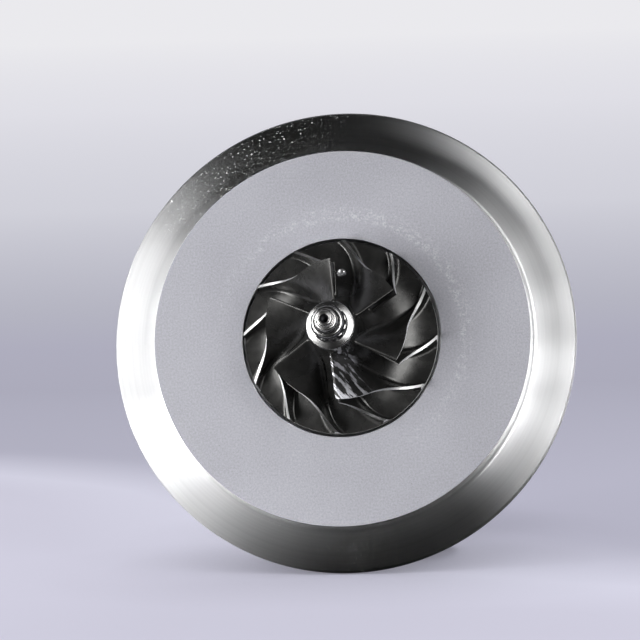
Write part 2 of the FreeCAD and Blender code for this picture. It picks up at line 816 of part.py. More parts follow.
def housing_outside():
    """The casting's outer form: turned body, oil inlet boss, drain neck and drain pad."""
    shoulder_end = flange_back + shoulder_length
    land_start = turbine_seat_y - turbine_land
    taper_start = land_start - taper_rise
    taper_r = turbine_flange_r - clamp_depth

    def flare_at(angle):
        turn = math.radians(angle)
        return flare_start + flare_r * math.sin(turn), waist_r + flare_r * (1 - math.cos(turn))

    body = turned(
        (plate_thickness, 0),
        (plate_thickness, flange_r - flange_chamfer),
        (plate_thickness + flange_chamfer, flange_r),
        (flange_back - flange_chamfer, flange_r),
        (flange_back, flange_r - flange_chamfer),
        (flange_back, shoulder_r),
        (shoulder_end - shoulder_round, shoulder_r),
        [
            (shoulder_end + shoulder_run / 2, (shoulder_r + waist_r) / 2),
            (shoulder_end + shoulder_run, waist_r),
        ],
        (flare_start, waist_r),
        (*flare_at(flare_angle / 2), *flare_at(flare_angle)),
        (taper_start, taper_r),
        (land_start, turbine_flange_r),
        (turbine_seat_y - flange_chamfer, turbine_flange_r),
        (turbine_seat_y, turbine_flange_r - flange_chamfer),
        (turbine_seat_y, pilot_r),
        (pilot_end, pilot_r),
        (pilot_end, pilot_r - pilot_wall),
        (recess_y, pilot_r - pilot_wall),
        (recess_y, seal_nose_r + seal_nose_slope),
        (recess_y + seal_nose, seal_nose_r),
        (recess_y + seal_nose, 0),
    )
    land_bottom = inlet_top - inlet_land
    boss = Part.makeCone(inlet_boss_r + inlet_boss_draft, inlet_boss_r, land_bottom, Vector(0, oil_y, 0))
    land = upright(0, inlet_top, inlet_land_r, 0, oil_y)
    pad_top = drain_pad_thickness - drain_z
    neck_middle = (pad_top - waist_r) / 2
    levels = [
        (-neck_start, neck_flare),
        (neck_middle, 0.0),
        ((neck_middle + pad_top) / 2, 0.2 * neck_flare),
        (pad_top, neck_flare),
    ]
    corner = neck_width / 2 - neck_flat
    neck = Part.makeLoft(
        [oval(neck_length + wide, neck_width + wide, corner, level) for level, wide in levels], True, False
    )
    pad = Part.Face(oval(drain_pad_length, drain_pad_width, drain_pad_corner, -drain_z))
    pad = pad.extrude(Vector(0, 0, drain_pad_thickness))
    half_neck = (neck_length + neck_flare) / 2
    across = (-half_neck - PAST, half_neck + PAST)
    beside = (oil_y - half_neck, oil_y + half_neck)
    casting = body.fuse([boss, land, neck, pad])
    casting = softened(casting, cast_fillet, across, beside, (0, land_bottom - PAST))
    casting = softened(casting, cast_fillet, across, beside, (neck_middle, 0))
    return softened(casting, pad_fillet, across, beside, (pad_top - pad_fillet, pad_top + pad_fillet))


def housing_passages():
    """Everything that is bored, drilled or cored out of the casting."""
    narrow_start = clip_starts[1] + clip_thickness + relief_margin
    narrow_end = clip_starts[2] - relief_margin
    throw_room_r = throw_r + throw_room
    throw_room_end = throw_end + throw_room / 2
    cavity_half = cavity_width / 2
    cuts = [
        rod(plate_thickness, thrust_back, counterbore_r),
        rod(thrust_back, collar_end + collar_room, collar_flange_r + collar_room),
        rod(collar_end, throw_y, bush_bore_r),
        rod(narrow_start, narrow_end, relief_r),
        rod(throw_y - throw_room / 2, throw_room_end, throw_room_r),
        rod(throw_end, pilot_end, housing_seal_r),
        block(-cavity_half, cavity_half, thrust_back, throw_room_end, -cavity_bottom, -cavity_top),
        block(-cavity_half, cavity_half, narrow_start, narrow_end, -cavity_bottom, 0),
        block(-cavity_half, cavity_half, throw_y - throw_room / 2, throw_room_end, -cavity_bottom, 0),
        upright(-drain_z, -cavity_bottom, drain_r, 0, oil_y),
        upright(inlet_top - inlet_thread_depth, inlet_top, inlet_thread_r, 0, oil_y),
        upright(gallery_z, inlet_top - inlet_thread_depth, inlet_drill_r, 0, oil_y),
        rod(thrust_back, rear_bush_y + bush_length / 2 + gallery_r, gallery_r, 0, gallery_z),
    ]
    for start in (front_bush_y, rear_bush_y):
        cuts.append(upright(bush_r - PAST, gallery_z, feed_r, 0, start + bush_length / 2))
    for start in clip_starts:
        cuts.append(rod(start, start + clip_thickness, bush_bore_r + clip_depth))
    for x, z in pin_places():
        pin_end = thrust_front - deflector_thickness / 2 + pin_length
        cuts.append(rod(thrust_back, pin_end, pin_r, x, z))
    for x, z in bolt_places():
        cuts.append(rod(plate_thickness, flange_back, bolt_r + bolt_hole_gap, x, z))
    for x in (-drain_bolt_spacing / 2, drain_bolt_spacing / 2):
        cuts.append(upright(-drain_z, drain_pad_thickness - drain_z, drain_bolt_r, x, oil_y))
    groove_half = oring_section_r + oring_groove_gap
    groove_end = plate_thickness + oring_depth()
    cuts.append(ring(plate_thickness, groove_end, oring_r - groove_half, oring_r + groove_half))
    return cuts


def bearing_housing():
    return housing_outside().cut(housing_passages())


def heat_shield():
    """A pressed cup that keeps the turbine's heat off the housing. Its rim sits on the turbine pilot."""
    rim_inner = shield_r - shield_seat
    middle_r = rim_inner - shield_slope
    hole_r = seal_hub_r + shield_hole_gap
    lean = shield_lean * shield_thickness
    front = pilot_end
    back = pilot_end + shield_thickness
    return turned(
        (front, shield_r),
        (back, shield_r),
        (back, rim_inner + lean),
        (back + shield_rise, middle_r + lean),
        (back + shield_rise, hole_r),
        (front + shield_rise, hole_r),
        (front + shield_rise, middle_r - lean),
        (front, rim_inner - lean),
    )


parts = {
    "compressor_wheel": compressor_wheel(),
    "compressor_nut": compressor_nut(),
    "rotor_shaft": rotor_shaft(),
    "turbine_wheel": turbine_wheel(),
    "thrust_collar": thrust_collar(),
    "oil_flinger": oil_flinger(),
    "compressor_seal_ring": compressor_seal_ring(),
    "turbine_seal_ring": turbine_seal_ring(),
    "backplate": backplate(),
    "backplate_bolts": backplate_bolts(),
    "backplate_washers": backplate_washers(),
    "housing_oring": housing_oring(),
    "thrust_bearing": thrust_bearing(),
    "thrust_pins": thrust_pins(),
    "oil_deflector": oil_deflector(),
    "front_journal_bearing": floating_bush(front_bush_y),
    "rear_journal_bearing": floating_bush(rear_bush_y),
    "bearing_circlips": bearing_circlips(),
    "bearing_housing": bearing_housing(),
    "heat_shield": heat_shield(),
}

os.makedirs("parts", exist_ok=True)
for name, shape in parts.items():
    shape.exportStep("parts/" + name + ".step")
    print(name, "solids", len(shape.Solids), "valid", shape.isValid(), "volume", round(shape.Volume, 1))
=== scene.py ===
import math

import bmesh
import bpy
from mathutils import Matrix, Vector

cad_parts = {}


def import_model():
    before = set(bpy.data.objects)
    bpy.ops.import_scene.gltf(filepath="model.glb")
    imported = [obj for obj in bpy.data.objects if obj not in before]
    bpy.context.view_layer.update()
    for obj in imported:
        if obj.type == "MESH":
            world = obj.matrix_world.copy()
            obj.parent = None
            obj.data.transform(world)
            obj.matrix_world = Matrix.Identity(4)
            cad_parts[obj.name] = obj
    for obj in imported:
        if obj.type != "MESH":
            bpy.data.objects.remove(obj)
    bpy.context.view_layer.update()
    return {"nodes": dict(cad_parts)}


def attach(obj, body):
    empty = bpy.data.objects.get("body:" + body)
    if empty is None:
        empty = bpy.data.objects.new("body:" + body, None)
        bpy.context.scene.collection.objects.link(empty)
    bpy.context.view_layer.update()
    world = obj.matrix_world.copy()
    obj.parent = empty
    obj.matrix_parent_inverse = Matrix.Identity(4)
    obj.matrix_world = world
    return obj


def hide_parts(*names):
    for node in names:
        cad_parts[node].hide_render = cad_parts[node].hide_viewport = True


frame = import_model()
nodes = frame["nodes"]
scene = bpy.context.scene

# The rotor turns about Y. -Y points to the compressor side and +Z to the oil inlet. r is a distance from the
# axis. The pieces' sizes are in millimetres, as in the part's own source, and become metres where a mesh is
# made. The camera, the lamps and the floor's extent are in metres.
MM = 0.001
SHARP_ANGLE = math.radians(32.0)

# Backplate
PLATE_R = 59.0
RIM_LAND = 2.5
RIM_CHAMFER = 0.4
CLAMP_RISE = 4.8 * math.tan(math.radians(20.0))
CLAMP_DEPTH = 4.8
PAD_R = 48.0
PAD_HEIGHT = 6.1
COVE_R = 1.2
WEB = 5.0
POCKET_R = 44.5
POCKET_DRAFT = 3.0
PLATE_THICKNESS = 13.0
SEAL_BORE_R = 8.15
FLANGE_R = 34.5
RECESS_R = 25.3
EDGE_BREAK = 0.15

# Compressor wheel
WHEEL_BACK_Y = 6.0
WHEEL_NOSE_Y = -21.0
WHEEL_EXIT_R = 24.5
WHEEL_INLET_R = 17.75
WHEEL_HUB_R = 6.4
WHEEL_NOSE_R = 6.1
WHEEL_FOOT_R = 7.4
WHEEL_BACK_CORNER = (5.0, 9.5)
INLET_HUB_Y = -17.5
INLET_TIP_Y = -15.6
EXIT_HUB_Y = 0.3
EXIT_WIDTH = 3.2
INDUCER_LENGTH = 5.7
INDUCER_SHARE = 0.35
EXIT_RIM = 1.2
WHEEL_GAP = 0.8
BLADE_PAIRS = 6
BLADE_PHASE = 32.0
BLADE_WRAP = 56.0
BLADE_LAG = 8.0
INLET_ANGLE = 60.0
EXIT_ANGLE = 46.0
SPLITTER_START = 0.4
BLADE_ROOT = 1.3
BLADE_TIP = 0.65
EDGE_SHARE = 0.6
ROOT_FILLET = 1.0
FULL_STEPS = 44
SPLITTER_STEPS = 30

# Compressor nut and the shaft's threaded end
NUT_POINTS = 12
STUD_R = 2.8
NUT_FLANGE_R = 6.05
NUT_FLANGE = 1.3
NUT_HEIGHT = 6.5
NUT_POINT_R = 4.6
NUT_COLLAR_R = 4.0
NUT_COLLAR = 1.5
NUT_FLANGE_EDGE = 0.5
STUD_PAST_NUT = 3.0
TIP_R = 2.0
TIP_LENGTH = 2.5
TIP_CENTRE_R = 1.1
TIP_CENTRE_DEPTH = 2.5
SHAFT_CHAMFER = 0.3
THREAD_PITCH = 0.75
THREAD_DEPTH = 0.22
THREAD_ROWS = 29

# The shaft behind the wheel, by where its steps lie along the axis
COLLAR_END = 20.0
JOURNAL_R = 4.0
WAIST = (32.0, 42.0)
WAIST_R = 3.7
THROW = (53.8, 55.8)
THROW_R = 9.8
SEAL_HUB_R = 8.2
SEAL_GROOVE = (59.0, 60.6)
SEAL_DEPTH = 1.4
WELD_Y = 66.5

# Ground places on the wheel. The bright streaks on one blade's front are ground metal, lightened in colour as
# a painted highlight where a lamp's glare lies. They begin at the first angle, fade out between the other
# two, and fade out between the two depths. The balancing dimple's centre is (y, r, angle).
GROUND_GLARE_ANGLES = (-98.0, -62.0, -40.0)
GROUND_GLARE_Y = (-11.0, -8.5)
DIMPLE = (-1.6, 16.3, 89.0)
DIMPLE_R = 1.25
DIMPLE_DEPTH = 0.8 * DIMPLE_R

# The worn halo on the diffuser face: it begins, is brightest and ends at these distances from the axis
HALO_R = (29.0, 31.0, 35.0)


def polar(y, r, angle):
    turn = math.radians(angle)
    return Vector((r * math.cos(turn), y, r * math.sin(turn)))


def spread(start, end, count):
    return [start + (end - start) * number / (count - 1) for number in range(count)]


def piece(name, points, faces, looks, body, replaced, material_of):
    """A mesh object from points in millimetres, closed up, smoothed and set on its body."""
    work = bmesh.new()
    made = [work.verts.new(Vector(point) * MM) for point in points]
    for face in faces:
        try:
            work.faces.new([made[index] for index in face])
        except ValueError:
            # A face that uses one point twice is left out
            continue
    bmesh.ops.remove_doubles(work, verts=work.verts, dist=1e-7)
    bmesh.ops.dissolve_degenerate(work, edges=work.edges, dist=1e-8)
    bmesh.ops.recalc_face_normals(work, faces=work.faces)
    mesh = bpy.data.meshes.new(name)
    work.to_mesh(mesh)
    work.free()
    for polygon in mesh.polygons:
        polygon.use_smooth = True
        polygon.material_index = material_of(polygon.center / MM, polygon.normal)
    mesh.set_sharp_from_angle(angle=SHARP_ANGLE)
    for material in looks:
        mesh.materials.append(material)
    made_object = bpy.data.objects.new(name, mesh)
    scene.collection.objects.link(made_object)
    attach(made_object, body)
    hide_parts(*replaced)


def rounded(corners, steps):
    """The closed outline through corners (y, r, radius), each corner rounded by its radius."""
    outline = []
    for number, (y, r, radius) in enumerate(corners):
        here = Vector((y, r))
        before = Vector(corners[number - 1][:2]) - here
        after = Vector(corners[(number + 1) % len(corners)][:2]) - here
        if radius == 0:
            outline.append(here)
            continue
        before.normalize()
        after.normalize()
        half = before.angle(after) / 2
        middle = here + (before + after).normalized() * (radius / math.sin(half))
        reach = radius / math.tan(half)
        first = here + before * reach - middle
        last = here + after * reach - middle
        for share in spread(0, 1, steps + 1):
            outline.append(middle + (first * (1 - share) + last * share).normalized() * radius)
    return outline


def revolved(outline, segments):
    """Points and faces of a closed outline of (y, r) turned about the axis."""
    count = len(outline)
    points = []
    faces = []
    for turn in range(segments):
        angle = 360.0 * turn / segments
        points += [polar(y, r, angle) for y, r in outline]
        ahead = (turn + 1) % segments
        for here in range(count):
            there = (here + 1) % count
            near = (turn * count + here, turn * count + there)
            far = (ahead * count + there, ahead * count + here)
            faces.append(near + far)
    return points, faces


def joined(*parts):
    """Several (points, faces) as one."""
    points = []
    faces = []
    for more_points, more_faces in parts:
        start = len(points)
        points += more_points
        faces += [tuple(start + index for index in face) for face in more_faces]
    return points, faces


class Nodes:
    """Shader nodes that are put together one by one. place is the point that patterns are made from."""

    def __init__(self, tree, coordinates):
        self.tree = tree
        self.tree.nodes.clear()
        self.place = self.node("ShaderNodeTexCoord", output=coordinates)

    def node(self, kind, inputs=None, output=0, **settings):
        made = self.tree.nodes.new(kind)
        for key, value in settings.items():
            setattr(made, key, value)
        for key, value in (inputs or {}).items():
            if isinstance(value, bpy.types.NodeSocket):
                self.tree.links.new(value, made.inputs[key])
            else:
                made.inputs[key].default_value = value
        return made.outputs[output]

    def math(self, operation, first, second=0.0, clamp=False):
        return self.node("ShaderNodeMath", {0: first, 1: second}, operation=operation, use_clamp=clamp)

    def noise(self, scale, detail, roughness=0.55, vector=None):
        """Cloudy values, nearly all between 0.3 and 0.7."""
        inputs = {"Vector": vector or self.place, "Scale": scale, "Detail": detail, "Roughness": roughness}
        return self.node("ShaderNodeTexNoise", inputs)

    def spots(self, scale, vector=None, flat=False):
        """The distance to the nearest of many scattered points."""
        inputs = {"Vector": vector or self.place, "Scale": scale}
        return self.node("ShaderNodeTexVoronoi", inputs, voronoi_dimensions="2D" if flat else "3D")

    def fit(self, value, low, high, to_low=0.0, to_high=1.0, smooth=False):
        """value moved from one span to another, and kept inside it."""
        inputs = {"Value": value, "From Min": low, "From Max": high, "To Min": to_low, "To Max": to_high}
        kind = "SMOOTHSTEP" if smooth else "LINEAR"
        return self.node("ShaderNodeMapRange", inputs, interpolation_type=kind, clamp=True)

    def mix(self, share, first, second):
        """A colour between first and second."""
        mixed = self.tree.nodes.new("ShaderNodeMix")
        mixed.data_type = "RGBA"
        for socket, value in ((mixed.inputs[0], share), (mixed.inputs[6], first), (mixed.inputs[7], second)):
            if isinstance(value, bpy.types.NodeSocket):
                self.tree.links.new(value, socket)
            elif isinstance(value, (int, float)):
                socket.default_value = value
            else:
                socket.default_value = (*value, 1.0)
        return mixed.outputs[2]

    def parts(self):
        """The x, y and z of place."""
        split = self.tree.nodes.new("ShaderNodeSeparateXYZ")
        self.tree.links.new(self.place, split.inputs[0])
        return split.outputs[0], split.outputs[1], split.outputs[2]


class Surface(Nodes):
    """A material. Its patterns are made from the object's own coordinates, in millimetres."""

    def __init__(self, name):
        self.material = bpy.data.materials.new(name)
        self.material.use_nodes = True
        super().__init__(self.material.node_tree, "Object")
        inputs = {0: self.place, 1: (1 / MM, 1 / MM, 1 / MM)}
        self.place = self.node("ShaderNodeVectorMath", inputs, operation="MULTIPLY")
        self.output = self.tree.nodes.new("ShaderNodeOutputMaterial")

    def radius(self):
        """A point's distance from the rotor's axis."""
        x, _, z = self.parts()
        squares = self.math("ADD", self.math("MULTIPLY", x, x), self.math("MULTIPLY", z, z))
        return self.math("SQRT", squares)

    def rings(self, scale, detail):
        """Noise that changes with the distance from the axis and along it, but hardly round it."""
        x, y, z = self.parts()
        turn = self.math("ARCTAN2", z, x)
        inputs = {0: self.radius(), 1: y, 2: self.math("MULTIPLY", turn, 0.06)}
        return self.noise(scale, detail, 0.6, self.node("ShaderNodeCombineXYZ", inputs))

    def bump(self, height, strength, distance, normal=None):
        """A normal that shows height, which is distance in millimetres where it is 1."""
        inputs = {"Height": height, "Strength": strength, "Distance": distance * MM}
        if normal is not None:
            inputs["Normal"] = normal
        return self.node("ShaderNodeBump", inputs)

    def shader(self, **inputs):
        """The principled shader, from inputs named as its sockets are, with _ for a space."""
        named = {}
        for key, value in inputs.items():
            if isinstance(value, tuple):
                value = (*value, 1.0)
            named[key.replace("_", " ")] = value
        closure = self.node("ShaderNodeBsdfPrincipled", named)
        self.tree.links.new(closure, self.output.inputs["Surface"])
        return self.material

    def round_tangent(self):
        """The direction in which a lathe's marks run."""
        return self.node("ShaderNodeTangent", direction_type="RADIAL", axis="Y")


def dust_specks(s, strength):
    """Small pale specks, as they lie when seen along the axis. Most are at the upper left."""
    x, _, z = s.parts()
    grain = s.spots(1.3, s.node("ShaderNodeCombineXYZ", {0: x, 1: z}), flat=True)
    upper_left = s.fit(s.math("SUBTRACT", z, x), 46.0, 84.0)
    patches = s.math("ADD", s.fit(s.noise(0.08, 3.0), 0.5, 0.64, 0.0, 0.6), upper_left, clamp=True)
    specks = s.math("MULTIPLY", s.fit(grain, 0.06, 0.155, 1.0, 0.0), patches)
    specks = s.math("MULTIPLY", specks, s.fit(s.noise(1.3, 1.0), 0.52, 0.62), clamp=True)
    return s.math("MULTIPLY", specks, strength)


def turned_metal(name, color, rough, spread_out, marks, worn=0.1, dust=0.0):
    """Metal with fine lathe marks round the axis, somewhat uneven, and dusty where dust is given."""
    s = Surface(name)
    fine = s.rings(1.8, 1.5)
    cloud = s.noise(0.05, 3.0)
    tone = s.math("ADD", s.fit(fine, 0.3, 0.7, 1.0 - marks, 1.0), s.fit(cloud, 0.35, 0.65, -worn, 0.0))
    shade = s.mix(tone, tuple(0.72 * part for part in color), color)
    gloss = s.fit(cloud, 0.35, 0.7, rough * 0.98, rough * 1.05)
    metallic = 1.0
    normal = s.bump(fine, 0.1, 0.002)
    if dust:
        specks = dust_specks(s, dust)
        shade = s.mix(specks, shade, (0.95, 0.95, 0.95))
        metallic = s.math("SUBTRACT", 1.0, specks)
        gloss = s.math("ADD", gloss, s.math("MULTIPLY", specks, 0.4))
        normal = s.bump(specks, 0.55, 0.1, normal)
    return s.shader(
        Base_Color=shade,
        Metallic=metallic,
        Roughness=gloss,
        Anisotropic=spread_out,
        Anisotropic_Rotation=0.25,
        Tangent=s.round_tangent(),
        Normal=normal,
    )


def matte_face(name):
    """The diffuser face: fine blasted grain, a worn bright halo near the bore, and a few small dark marks."""
    s = Surface(name)
    grain = s.noise(2.0, 6.0, 0.8)
    soft = s.noise(0.035, 2.0)
    tone = s.math("ADD", s.fit(grain, 0.3, 0.7, 0.0, 1.0), s.fit(soft, 0.3, 0.7, -0.12, 0.12))
    shade = s.mix(tone, (0.215, 0.215, 0.238), (0.365, 0.365, 0.40))

    r = s.radius()
    rise = s.fit(r, HALO_R[0], HALO_R[1], smooth=True)
    fall = s.fit(r, HALO_R[1], HALO_R[2], 1.0, 0.0, smooth=True)
    x, _, z = s.parts()
    upper_right = s.fit(s.math("ADD", s.math("MULTIPLY", x, 0.7), z), -20.0, 34.0, 0.12, 1.0)
    patches = s.math("MULTIPLY", s.fit(s.noise(0.6, 5.0, 0.75), 0.46, 0.62), upper_right)
    worn = s.math("MULTIPLY", patches, s.fit(grain, 0.4, 0.6))
    halo = s.math("MULTIPLY", s.math("MULTIPLY", rise, fall), worn)
    shade = s.mix(s.math("MULTIPLY", halo, 0.4), shade, (0.72, 0.72, 0.75))

    marks = s.fit(s.spots(0.45), 0.035, 0.06, 1.0, 0.0)
    marks = s.math("MULTIPLY", marks, s.fit(s.noise(0.2, 1.0), 0.5, 0.55))
    shade = s.mix(s.math("MULTIPLY", marks, 0.8), shade, (0.12, 0.12, 0.13))
    gloss = s.fit(grain, 0.3, 0.7, 0.5, 0.62)
    normal = s.bump(grain, 0.5, 0.06)
    return s.shader(Base_Color=shade, Metallic=0.35, Roughness=gloss, Normal=normal)


def wheel_metal(name):
    """The compressor wheel's dark cast skin, with one blade's front ground bright and lightened further as a
    painted highlight, and a balancing dimple ground bright.
    """
    s = Surface(name)
    x, y, z = s.parts()
    grain = s.noise(3.0, 5.0, 0.6)
    cloud = s.noise(0.12, 4.0)
    stretched = s.node("ShaderNodeVectorMath", {0: s.place, 1: (1.0, 0.15, 1.0)}, operation="MULTIPLY")
    flow = s.noise(0.5, 4.0, 0.6, stretched)
    tone = s.math("ADD", s.math("MULTIPLY", flow, 0.5), s.math("MULTIPLY", cloud, 0.5))
    shade = s.mix(s.fit(tone, 0.38, 0.62), (0.043, 0.043, 0.042), (0.074, 0.073, 0.071))
    gloss = s.fit(cloud, 0.35, 0.65, 0.25, 0.31)

    # Painted highlight: one blade's ground front gets a pale colour where a lamp's glare lies
    turn = s.math("DEGREES", s.math("ARCTAN2", z, x))
    begin, fade, end = GROUND_GLARE_ANGLES
    sector = s.math("MULTIPLY", s.fit(turn, begin, begin + 3), s.fit(turn, fade, end, 1.0, 0.0))
    front = s.fit(y, *GROUND_GLARE_Y, 1.0, 0.0)
    across = s.math("ADD", x, z)
    along = s.math("MULTIPLY", s.math("SUBTRACT", x, z), 0.14)
    slant = s.node("ShaderNodeCombineXYZ", {0: across, 1: s.math("MULTIPLY", y, 0.3), 2: along})
    streaks = s.noise(0.55, 5.0, 0.62, slant)
    ground_glare = s.math("MULTIPLY", s.math("MULTIPLY", sector, front), s.fit(streaks, 0.49, 0.53))
    shade = s.mix(ground_glare, shade, (0.62, 0.62, 0.66))
    gloss = s.math("ADD", gloss, s.math("MULTIPLY", ground_glare, s.fit(grain, 0.3, 0.7, 0.0, 0.16)))

    away = s.node("ShaderNodeVectorMath", {0: s.place, 1: polar(*DIMPLE)}, output=1, operation="DISTANCE")
    dimple = s.fit(away, DIMPLE_R * 0.9, DIMPLE_R, 1.0, 0.0)
    shade = s.mix(dimple, shade, (0.80, 0.80, 0.82))
    gloss = s.math("SUBTRACT", gloss, s.math("MULTIPLY", dimple, 0.14))
    out = s.math("MINIMUM", s.math("DIVIDE", away, DIMPLE_R), 1.0)
    bowl = s.math("SQRT", s.math("SUBTRACT", 1.0, s.math("MULTIPLY", out, out)))
    normal = s.bump(bowl, 1.0, -DIMPLE_DEPTH, s.bump(grain, 0.25, 0.012))
    return s.shader(Base_Color=shade, Metallic=0.78, Roughness=gloss, Normal=normal)


def cast_metal(name, dark, light, rough, grain_scale, grain_depth, metallic=1.0):
    """Cast or blasted metal, grainy and uneven."""
    s = Surface(name)
    grain = s.noise(grain_scale, 5.0, 0.65)
    cloud = s.noise(0.12, 4.0)
    tone = s.math("ADD", s.math("MULTIPLY", grain, 0.5), s.math("MULTIPLY", cloud, 0.5))
    shade = s.mix(s.fit(tone, 0.38, 0.62), dark, light)
    normal = s.bump(grain, 0.35, grain_depth)
    gloss = s.fit(cloud, 0.35, 0.65, rough * 0.88, rough * 1.12)
    return s.shader(Base_Color=shade, Metallic=metallic, Roughness=gloss, Normal=normal)


# Turned metal is given by its colour, its roughness, how far the lathe's marks spread its shine, and how dark
# they are. Cast metal is given by its dark and light tones, its roughness, the fineness and depth of its
# grain, and its share of metal.
materials = {
    "rim": turned_metal("turned_aluminium", (0.90, 0.90, 0.91), 0.285, 1.0, 0.22, worn=0.03, dust=0.9),
    "face": matte_face("matte_diffuser_face"),
    # The recess is the rim's turned aluminium painted darker: painted shade in the recess
    "recess": turned_metal("turned_recess_painted_shade", (0.30, 0.30, 0.31), 0.30, 0.5, 0.4),
    "blade": wheel_metal("cast_wheel"),
    "edge": turned_metal("turned_blade_edges", (0.90, 0.90, 0.90), 0.38, 0.9, 0.2),
    "polished": turned_metal("polished_steel", (0.62, 0.615, 0.61), 0.24, 0.5, 0.15),
    "ground": turned_metal("ground_steel", (0.70, 0.69, 0.68), 0.27, 0.6, 0.2),
    "hot": cast_metal("turbine_alloy", (0.23, 0.21, 0.20), (0.38, 0.36, 0.34), 0.42, 2.5, 0.05),
    "iron": cast_metal("cast_iron", (0.10, 0.10, 0.105), (0.19, 0.185, 0.18), 0.55, 1.4, 0.25, 0.75),
    "bronze": turned_metal("bearing_bronze", (0.72, 0.48, 0.25), 0.28, 0.5, 0.3),
    # Painted shade for the steel's crevices, holes and thread roots
    "crevice_shade": cast_metal("steel_painted_shade", (0.025, 0.025, 0.028), (0.05, 0.05, 0.055), 0.5, 3.0, 0.02),
    "zinc": cast_metal("zinc_plated_steel", (0.55, 0.56, 0.58), (0.72, 0.73, 0.74), 0.28, 2.0, 0.02),
    "shield": turned_metal("shield_steel", (0.52, 0.50, 0.48), 0.34, 0.4, 0.4),
    "rubber": cast_metal("seal_rubber", (0.02, 0.02, 0.02), (0.035, 0.035, 0.035), 0.6, 3.0, 0.02, 0.0),
}

NODE_MATERIALS = {
    "rotor_shaft": "ground",
    "turbine_wheel": "hot",
    "thrust_collar": "ground",
    "oil_flinger": "ground",
    "compressor_seal_ring": "ground",
    "turbine_seal_ring": "ground",
    "backplate": "recess",
    "backplate_bolts": "zinc",
    "backplate_washers": "zinc",
    "housing_oring": "rubber",
    "thrust_bearing": "bronze",
    "thrust_pins": "ground",
    "oil_deflector": "shield",
    "front_journal_bearing": "bronze",
    "rear_journal_bearing": "bronze",
    "bearing_circlips": "polished",
    "bearing_housing": "iron",
    "heat_shield": "shield",
    "compressor_wheel": "blade",
    "compressor_nut": "polished",
}
for name, key in NODE_MATERIALS.items():
    mesh = nodes[name].data
    mesh.materials.clear()
    mesh.materials.append(materials[key])


def backplate():
    recess_rim = EXIT_HUB_Y + EXIT_RIM + WHEEL_GAP
    recess_back = WHEEL_BACK_Y + WHEEL_GAP
    rim_back = PAD_HEIGHT + RIM_LAND
    outline = rounded(
        [
            (0, RECESS_R, EDGE_BREAK),
            (0, PAD_R, EDGE_BREAK),
            (PAD_HEIGHT, PAD_R, COVE_R),
            (PAD_HEIGHT, PLATE_R - RIM_CHAMFER, 0.06),
            (PAD_HEIGHT + RIM_CHAMFER, PLATE_R, 0.06),
            (rim_back, PLATE_R, 0.2),
            (rim_back + CLAMP_RISE, PLATE_R - CLAMP_DEPTH, 0.3),
            (rim_back + CLAMP_RISE, POCKET_R + POCKET_DRAFT, 0.3),
            (WEB, POCKET_R, 1.0),
            (WEB, FLANGE_R + POCKET_DRAFT, 1.0),
            (PLATE_THICKNESS, FLANGE_R, 0.2),
            (PLATE_THICKNESS, SEAL_BORE_R, 0),
            (recess_back, SEAL_BORE_R, 0),
            (recess_back, WHEEL_FOOT_R + 2.0, 0),
            (recess_rim, WHEEL_EXIT_R, 0),
            (recess_rim, RECESS_R, 0.3),
        ],
        6,
    )
    points, faces = revolved(outline, 360)

    def material_of(centre, normal):
        r = math.hypot(centre.x, centre.z)
        if centre.y < 0.01 and RECESS_R < r < PAD_R:
            return 0
        # The recess wall takes the darker turned aluminium, which is painted shade
        return 2 if r < RECESS_R + 0.05 and centre.y > EDGE_BREAK else 1

    piece(
        "backplate_turned",
        points,
        faces,
        [materials["face"], materials["rim"], materials["recess"]],
        "housing",
        ["backplate"],
        material_of,
    )


def quarter(share, start, end):
    """A point (y, r) on a quarter of an ellipse, which leaves start along the axis and meets end outwards."""
    turn = math.radians(90 * share)
    y = start[0] + (end[0] - start[0]) * math.sin(turn)
    r = start[1] + (end[1] - start[1]) * (1 - math.cos(turn))
    return y, r


def eased(share, start, end, start_slope, end_slope):
    """A smooth course from start to end that has these slopes at its two ends."""
    a = start_slope + end_slope - 2 * (end - start)
    b = 3 * (end - start) - 2 * start_slope - end_slope
    return ((a * share + b) * share + start_slope) * share + start


HUB_ENDS = (INLET_HUB_Y, WHEEL_HUB_R), (EXIT_HUB_Y, WHEEL_EXIT_R)
TIP_ENDS = (INLET_TIP_Y + INDUCER_LENGTH, WHEEL_INLET_R), (EXIT_HUB_Y - EXIT_WIDTH, WHEEL_EXIT_R)


def turn_of(ends, curved, start):
    """How far a compressor blade has turned along one of its edges, of which a share is curved."""
    (start_y, start_r), (end_y, end_r) = ends
    lead_in = math.tan(math.radians(INLET_ANGLE)) / WHEEL_INLET_R
    lead_out = math.tan(math.radians(EXIT_ANGLE)) / WHEEL_EXIT_R
    slope_in = math.degrees(lead_in * (end_y - start_y) * math.pi / 2 / curved)
    slope_out = math.degrees(lead_out * (end_r - start_r) * math.pi / 2 / curved)
    return lambda share: eased(share, start, BLADE_WRAP, slope_in, slope_out)


CURVED_SHARE = 1 - INDUCER_SHARE
hub_turn = turn_of(HUB_ENDS, 1.0, -BLADE_LAG)
tip_turn = turn_of(TIP_ENDS, CURVED_SHARE, 0.0)


def compressor_foot(share):
    return polar(*quarter(share, *HUB_ENDS), hub_turn(share))


def compressor_head(share):
    if share < INDUCER_SHARE:
        return polar(INLET_TIP_Y + INDUCER_LENGTH * share / INDUCER_SHARE, WHEEL_INLET_R, tip_turn(share))
    return polar(*quarter((share - INDUCER_SHARE) / CURVED_SHARE, *TIP_ENDS), tip_turn(share))


def full_thickness(up):
    """A blade's thickness behind its thinner front edge, at a share of its height."""
    return BLADE_ROOT + (BLADE_TIP - BLADE_ROOT) * max(0.0, up)


